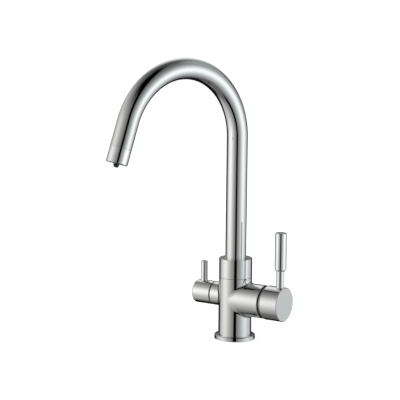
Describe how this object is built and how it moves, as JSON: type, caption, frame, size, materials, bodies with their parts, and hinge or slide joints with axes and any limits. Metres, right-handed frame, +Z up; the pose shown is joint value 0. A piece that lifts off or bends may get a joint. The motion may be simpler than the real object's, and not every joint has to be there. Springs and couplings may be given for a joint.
{
  "type": "kitchen mixer tap",
  "caption": "Deck-mounted kitchen mixer tap: swivelling swan-neck spout, side mixing lever, side filtered-water lever and a separate filtered-water nozzle.",
  "frame": {"origin": "centre of the base's underside, on the worktop", "axes": "+Z up along the body and riser, +X along the mixer arm, -Y to the front, where the user stands"},
  "size_m": [0.1337, 0.2074, 0.3405],
  "materials": {
    "polished_chrome": "polished",
    "bare_brass": "satin",
    "stainless_steel": "satin",
    "black_rubber": "matte",
    "black_plastic": "matte",
    "white_nylon": "matte",
    "grey_acetal": "matte",
    "white_ceramic": "gloss"
  },
  "bodies": {
    "tap_body": {"base_ring": "polished_chrome", "base_gasket": "black_rubber", "body_casting": "polished_chrome", "stem_o_rings": "black_rubber", "spout_thrust_ring": "white_nylon", "filter_nipple": "bare_brass", "filter_nipple_o_ring": "black_rubber", "cartridge_case": "grey_acetal", "cartridge_port_seals": "black_rubber", "fixed_mixing_disc": "white_ceramic", "cartridge_nut": "bare_brass", "dome_bonnet": "polished_chrome", "filter_arm_sleeve": "polished_chrome", "filter_valve_washer": "black_rubber", "filter_headwork": "bare_brass", "filter_fixed_disc": "white_ceramic"},
    "spout": {"spout_collar": "polished_chrome", "spout_grub_screw": "stainless_steel", "spout_tube": "polished_chrome", "filter_tube": "white_nylon", "outlet_sleeve": "polished_chrome", "outlet_seal": "black_rubber", "aerator_insert": "grey_acetal", "filter_nozzle": "black_plastic"},
    "mixer_turner": {"cartridge_turner": "white_nylon", "cartridge_pivot_pin": "stainless_steel"},
    "mixer_lever": {"cartridge_stem": "bare_brass", "mixer_knob": "polished_chrome", "mixer_grub_screw": "stainless_steel", "mixer_lever_rod": "polished_chrome", "mixer_lever_grip": "polished_chrome"},
    "mixer_disc": {"moving_mixing_disc": "white_ceramic", "disc_carrier": "grey_acetal"},
    "filter_handle": {"filter_handle": "polished_chrome", "filter_lever_rod": "polished_chrome", "filter_spindle": "bare_brass", "filter_moving_disc": "white_ceramic", "filter_spindle_o_ring": "black_rubber", "filter_spindle_clip": "stainless_steel", "filter_grub_screw": "stainless_steel"}
  },
  "joints": [
    {"name": "spout_swivel", "type": "hinge", "parent": "tap_body", "child": "spout", "pos_m": [0, 0, 0.083], "axis": [0, 0, 1], "range_deg": [-163, 197]},
    {"name": "temperature_turn", "type": "hinge", "parent": "tap_body", "child": "mixer_turner", "pos_m": [0.033, 0, 0.0491], "axis": [1, 0, 0], "range_deg": [-50, 50]},
    {"name": "flow_tilt", "type": "hinge", "parent": "mixer_turner", "child": "mixer_lever", "pos_m": [0.033, 0, 0.0491], "axis": [0, 1, 0], "range_deg": [0, 20]},
    {"name": "disc_slide", "type": "slide", "parent": "mixer_turner", "child": "mixer_disc", "axis": [0, 0, 1], "range_m": [0, 0.0036]},
    {"name": "filter_turn", "type": "hinge", "parent": "tap_body", "child": "filter_handle", "pos_m": [-0.0413, 0, 0.0514], "axis": [1, 0, 0], "range_deg": [0, 90]}
  ],
  "couplings": [
    {"joint": "disc_slide", "follows": "flow_tilt", "m_per_rad": 0.01009}
  ]
}
